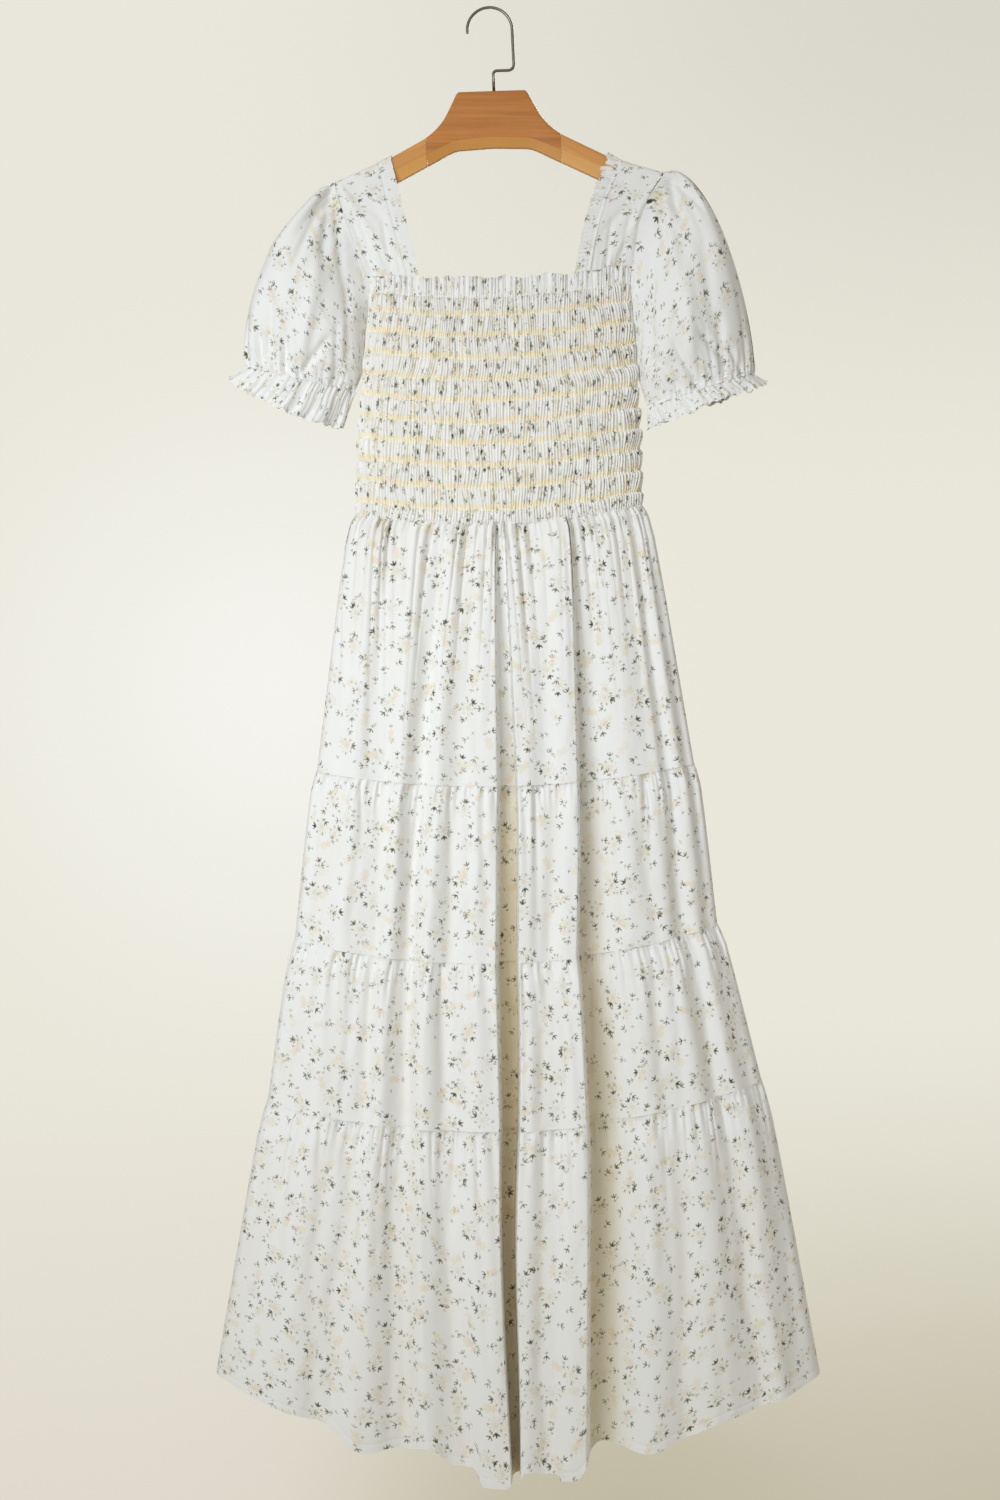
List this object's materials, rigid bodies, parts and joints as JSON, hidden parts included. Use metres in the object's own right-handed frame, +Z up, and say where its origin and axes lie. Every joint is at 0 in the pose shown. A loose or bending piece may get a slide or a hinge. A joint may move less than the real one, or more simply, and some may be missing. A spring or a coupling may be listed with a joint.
{
  "type": "smocked maxi dress on a wooden hanger",
  "caption": "Long tiered dress with a smocked bodice, puff sleeves and frilled straps, hanging flat on a wooden hanger with a wire hook.",
  "frame": {"origin": "the top of the inside of the hook's bend, where a rail carries the hanger", "axes": "+X to the right of a viewer who faces the dress's front, +Y from the front to the back, +Z up"},
  "size_m": [0.602, 0.1396, 1.4643],
  "materials": {
    "printed_cotton": "matt printed cotton crepe",
    "smocked_cotton": "matt printed cotton drawn up by rows of cream elastic",
    "block_wood": "satin clear varnish",
    "arm_wood": "satin clear varnish",
    "hook_wire": "nickel-plated steel wire"
  },
  "bodies": {
    "root": {"bodice_back": "smocked_cotton", "bodice_front": "smocked_cotton", "cuff_frill_left": "printed_cotton", "cuff_frill_right": "printed_cotton", "hanger_arm_left": "arm_wood", "hanger_arm_right": "arm_wood", "hanger_centre": "block_wood", "hanger_hook": "hook_wire", "neck_frill_back": "printed_cotton", "neck_frill_front": "printed_cotton", "sleeve_left": "printed_cotton", "sleeve_right": "printed_cotton", "strap_frill_left": "printed_cotton", "strap_frill_right": "printed_cotton", "strap_left": "printed_cotton", "strap_right": "printed_cotton", "tier_1_back": "printed_cotton", "tier_1_front": "printed_cotton", "tier_2_back": "printed_cotton", "tier_2_front": "printed_cotton", "tier_3_back": "printed_cotton", "tier_3_front": "printed_cotton", "tier_4_back": "printed_cotton", "tier_4_front": "printed_cotton"}
  },
  "joints": []
}
